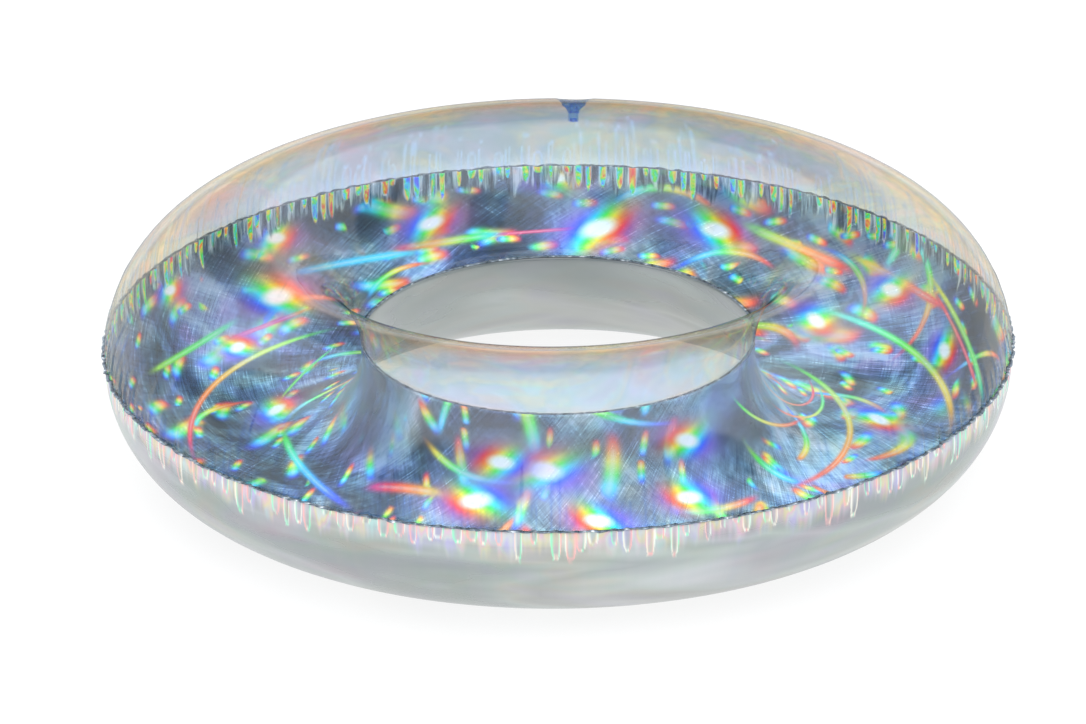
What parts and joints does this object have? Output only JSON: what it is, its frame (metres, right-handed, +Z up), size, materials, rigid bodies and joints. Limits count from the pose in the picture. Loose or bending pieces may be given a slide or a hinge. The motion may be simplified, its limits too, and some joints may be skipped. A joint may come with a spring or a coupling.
{
  "type": "inflatable swim ring",
  "caption": "Inflatable ring-shaped pool float with a clear upper sheet, a holographic lower sheet and a push-in oral inflation valve.",
  "frame": {"origin": "on the floor below the ring's centre", "axes": "+Z up through the centre of the ring; +Y from the centre towards the valve"},
  "size_m": [1.067, 1.0669, 0.279],
  "materials": {
    "clear_vinyl": "clear gloss",
    "holographic_vinyl": "iridescent silver",
    "welded_vinyl": "welded silver and clear",
    "blue_vinyl": "translucent gloss",
    "insert_vinyl": "translucent gloss"
  },
  "bodies": {
    "ring": {"top_sheet": "clear_vinyl", "bottom_sheet": "holographic_vinyl", "outer_seam": "welded_vinyl", "inner_seam": "welded_vinyl", "valve_flange": "blue_vinyl", "valve_cone": "blue_vinyl"},
    "valve": {"valve_stem": "blue_vinyl", "check_valve_insert": "insert_vinyl", "stopper_strap": "blue_vinyl"},
    "stopper": {"stopper": "blue_vinyl"},
    "flap": {"check_flap": "insert_vinyl"}
  },
  "joints": [
    {"name": "valve_pop", "type": "slide", "parent": "ring", "child": "valve", "axis": [0, 0.342, 0.9397], "range_m": [0, 0.028], "deforming": ["valve_cone"]},
    {"name": "stopper_swing", "type": "hinge", "parent": "valve", "child": "stopper", "pos_m": [0, 0.441, 0.26414], "axis": [-1, 0, 0], "range_deg": [0, 120], "deforming": ["stopper_strap"]},
    {"name": "flap_swing", "type": "hinge", "parent": "valve", "child": "flap", "pos_m": [0, 0.42925, 0.24091], "axis": [1, 0, 0], "range_deg": [0, 60]}
  ]
}
